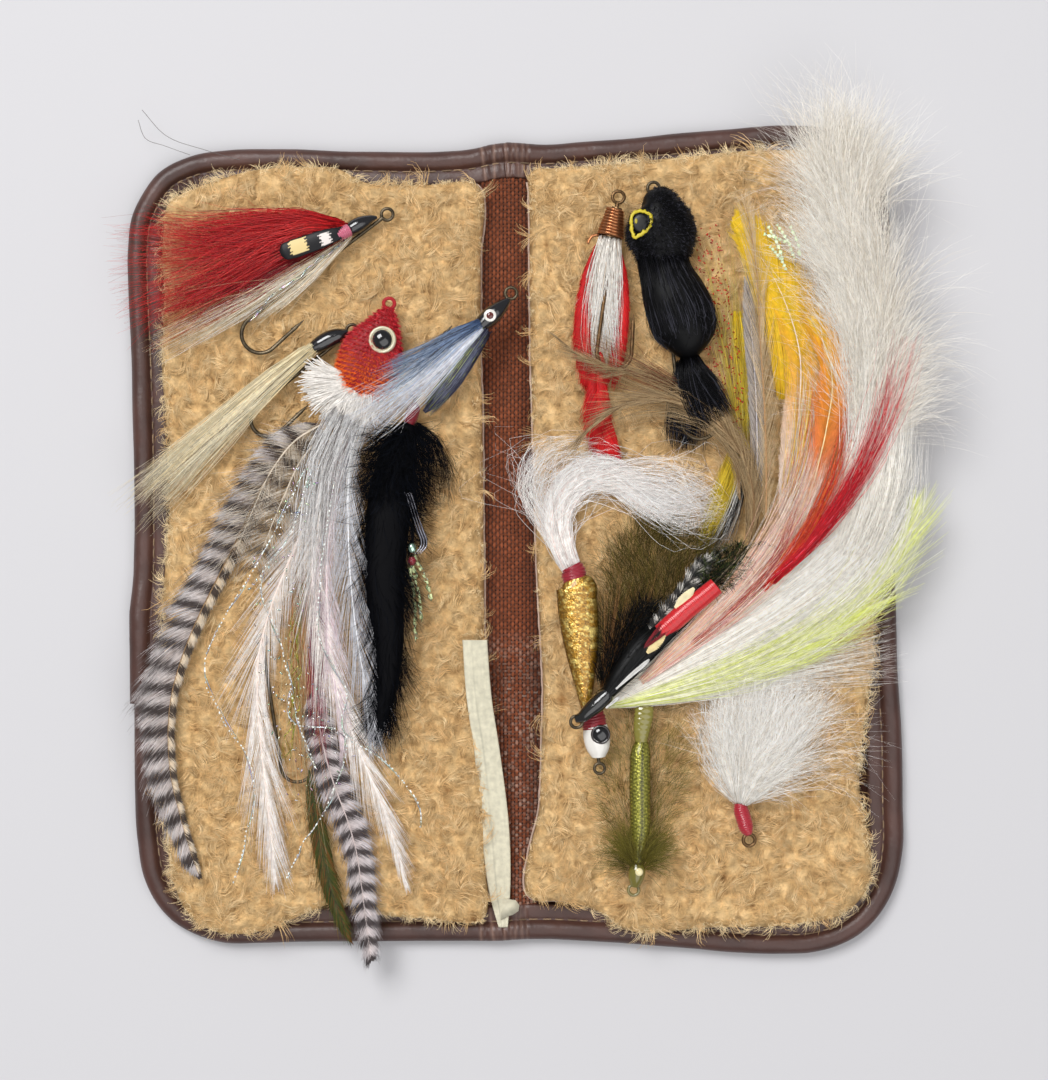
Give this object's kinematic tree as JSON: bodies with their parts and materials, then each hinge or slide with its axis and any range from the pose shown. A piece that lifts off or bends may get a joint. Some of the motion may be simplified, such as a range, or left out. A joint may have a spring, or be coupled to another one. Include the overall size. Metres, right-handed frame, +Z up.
{
  "type": "fly wallet",
  "caption": "Open leather fly wallet with fleece pads, a canvas spine and a loaded set of hair and feather streamers",
  "frame": {"origin": "middle of the spine's underside, on the table", "axes": "X across the two open panels with the right panel at +X, Y along the spine toward the top edge, Z up"},
  "size_m": [0.1907, 0.2031, 0.0205],
  "materials": {
    "leather": "matt, grained",
    "canvas": "coarse plain weave",
    "binding_leather": "worn to a gloss",
    "paper_tape": "creped",
    "fleece": "curled wool",
    "hook_steel": "bronzed",
    "black_lacquer": "wet-look lacquer",
    "red_hair": "straight hair",
    "white_hair": "straight hair",
    "enamel_feather": "waxy feather",
    "cream_hair": "straight hair",
    "red_chenille": "looped pile",
    "grizzly_feather": "barred feather",
    "blue_hair": "straight hair",
    "red_thread": "varnished thread",
    "black_fur": "soft fur",
    "copper_wire": "bright wire",
    "black_deer_hair": "clipped hair",
    "yellow_hair": "straight hair",
    "brown_feather": "hackle feather",
    "amber_resin": "clear with glitter",
    "white_enamel": "gloss enamel",
    "red_floss": "silky floss",
    "chartreuse_hair": "straight hair",
    "scale_tinsel": "scaled foil",
    "olive_fur": "soft fur"
  },
  "bodies": {
    "left_panel": {"cover_left": "leather", "lining_left": "canvas", "binding_left_upper": "binding_leather", "binding_left_lower": "binding_leather", "fleece_left": "fleece", "red_streamer_hook": "hook_steel", "cream_streamer_hook": "hook_steel", "baitfish_hook": "hook_steel", "black_leech_hook": "hook_steel", "red_streamer_head": "black_lacquer", "cream_streamer_head": "black_lacquer", "red_streamer_wing": "red_hair", "red_streamer_throat": "white_hair", "red_streamer_cheek": "enamel_feather", "cream_streamer_wing": "cream_hair", "baitfish_eye": "black_lacquer", "baitfish_head": "red_chenille", "baitfish_collar": "white_hair", "baitfish_saddle": "white_hair", "baitfish_grizzly_outer": "grizzly_feather", "baitfish_grizzly_inner": "grizzly_feather", "black_leech_head": "red_thread", "black_leech_fur": "black_fur"},
    "spine": {"cover_spine": "leather", "lining_spine": "canvas", "binding_spine_top": "binding_leather", "binding_spine_bottom": "binding_leather", "tape_strip": "paper_tape"},
    "right_panel": {"cover_right": "leather", "lining_right": "canvas", "binding_right": "binding_leather", "fleece_right": "fleece", "copper_fly_hook": "hook_steel", "copper_fly_core": "red_thread", "copper_fly_winding": "copper_wire", "copper_fly_hair": "white_hair", "mouse_hook": "hook_steel", "mouse_body": "black_deer_hair", "mouse_tail": "black_fur", "yellow_wing": "yellow_hair", "orange_wing": "yellow_hair", "brown_hackle_outer": "brown_feather", "brown_hackle_inner": "brown_feather", "tube_fly_pin": "hook_steel", "deceiver_hook": "hook_steel", "tube_fly_body": "amber_resin", "tube_fly_head": "white_enamel", "tube_fly_hair": "white_hair", "deceiver_head": "black_lacquer", "deceiver_body": "red_floss", "deceiver_chartreuse_wing": "chartreuse_hair", "deceiver_white_wing": "white_hair", "white_fur": "white_hair", "olive_fly_body": "scale_tinsel", "olive_fly_fur": "olive_fur", "marabou_fly_head": "red_thread", "marabou_fly_fur": "white_hair"},
    "blue_fly": {"blue_streamer_hook": "hook_steel", "blue_streamer_head": "black_lacquer", "blue_streamer_wing": "blue_hair"}
  },
  "joints": [
    {"name": "spine_fold", "type": "hinge", "parent": "left_panel", "child": "spine", "pos_m": [-0.0055, 0, 0.0021], "axis": [0, -1, 0], "range_deg": [0, 72], "deforming": ["fleece_left", "red_streamer_wing", "red_streamer_throat", "red_streamer_cheek", "cream_streamer_wing", "baitfish_collar", "baitfish_saddle", "baitfish_grizzly_outer", "baitfish_grizzly_inner", "black_leech_fur", "tape_strip"]},
    {"name": "cover_fold", "type": "hinge", "parent": "spine", "child": "right_panel", "pos_m": [0.0055, 0, 0.0021], "axis": [0, -1, 0], "range_deg": [0, 72], "deforming": ["fleece_right", "copper_fly_hair", "mouse_body", "mouse_tail", "yellow_wing", "orange_wing", "brown_hackle_outer", "brown_hackle_inner", "tube_fly_hair", "deceiver_body", "deceiver_chartreuse_wing", "deceiver_white_wing", "white_fur", "olive_fly_fur", "marabou_fly_fur"]},
    {"name": "blue_fly_swing", "type": "hinge", "parent": "left_panel", "child": "blue_fly", "pos_m": [-0.012, 0.039, 0.0103], "axis": [0, 0, 1], "range_deg": [0, 30], "deforming": ["blue_streamer_wing"]}
  ],
  "couplings": [
    {"joint": "cover_fold", "follows": "spine_fold", "ratio": 1},
    {"joint": "blue_fly_swing", "follows": "spine_fold", "ratio": 0.4}
  ]
}
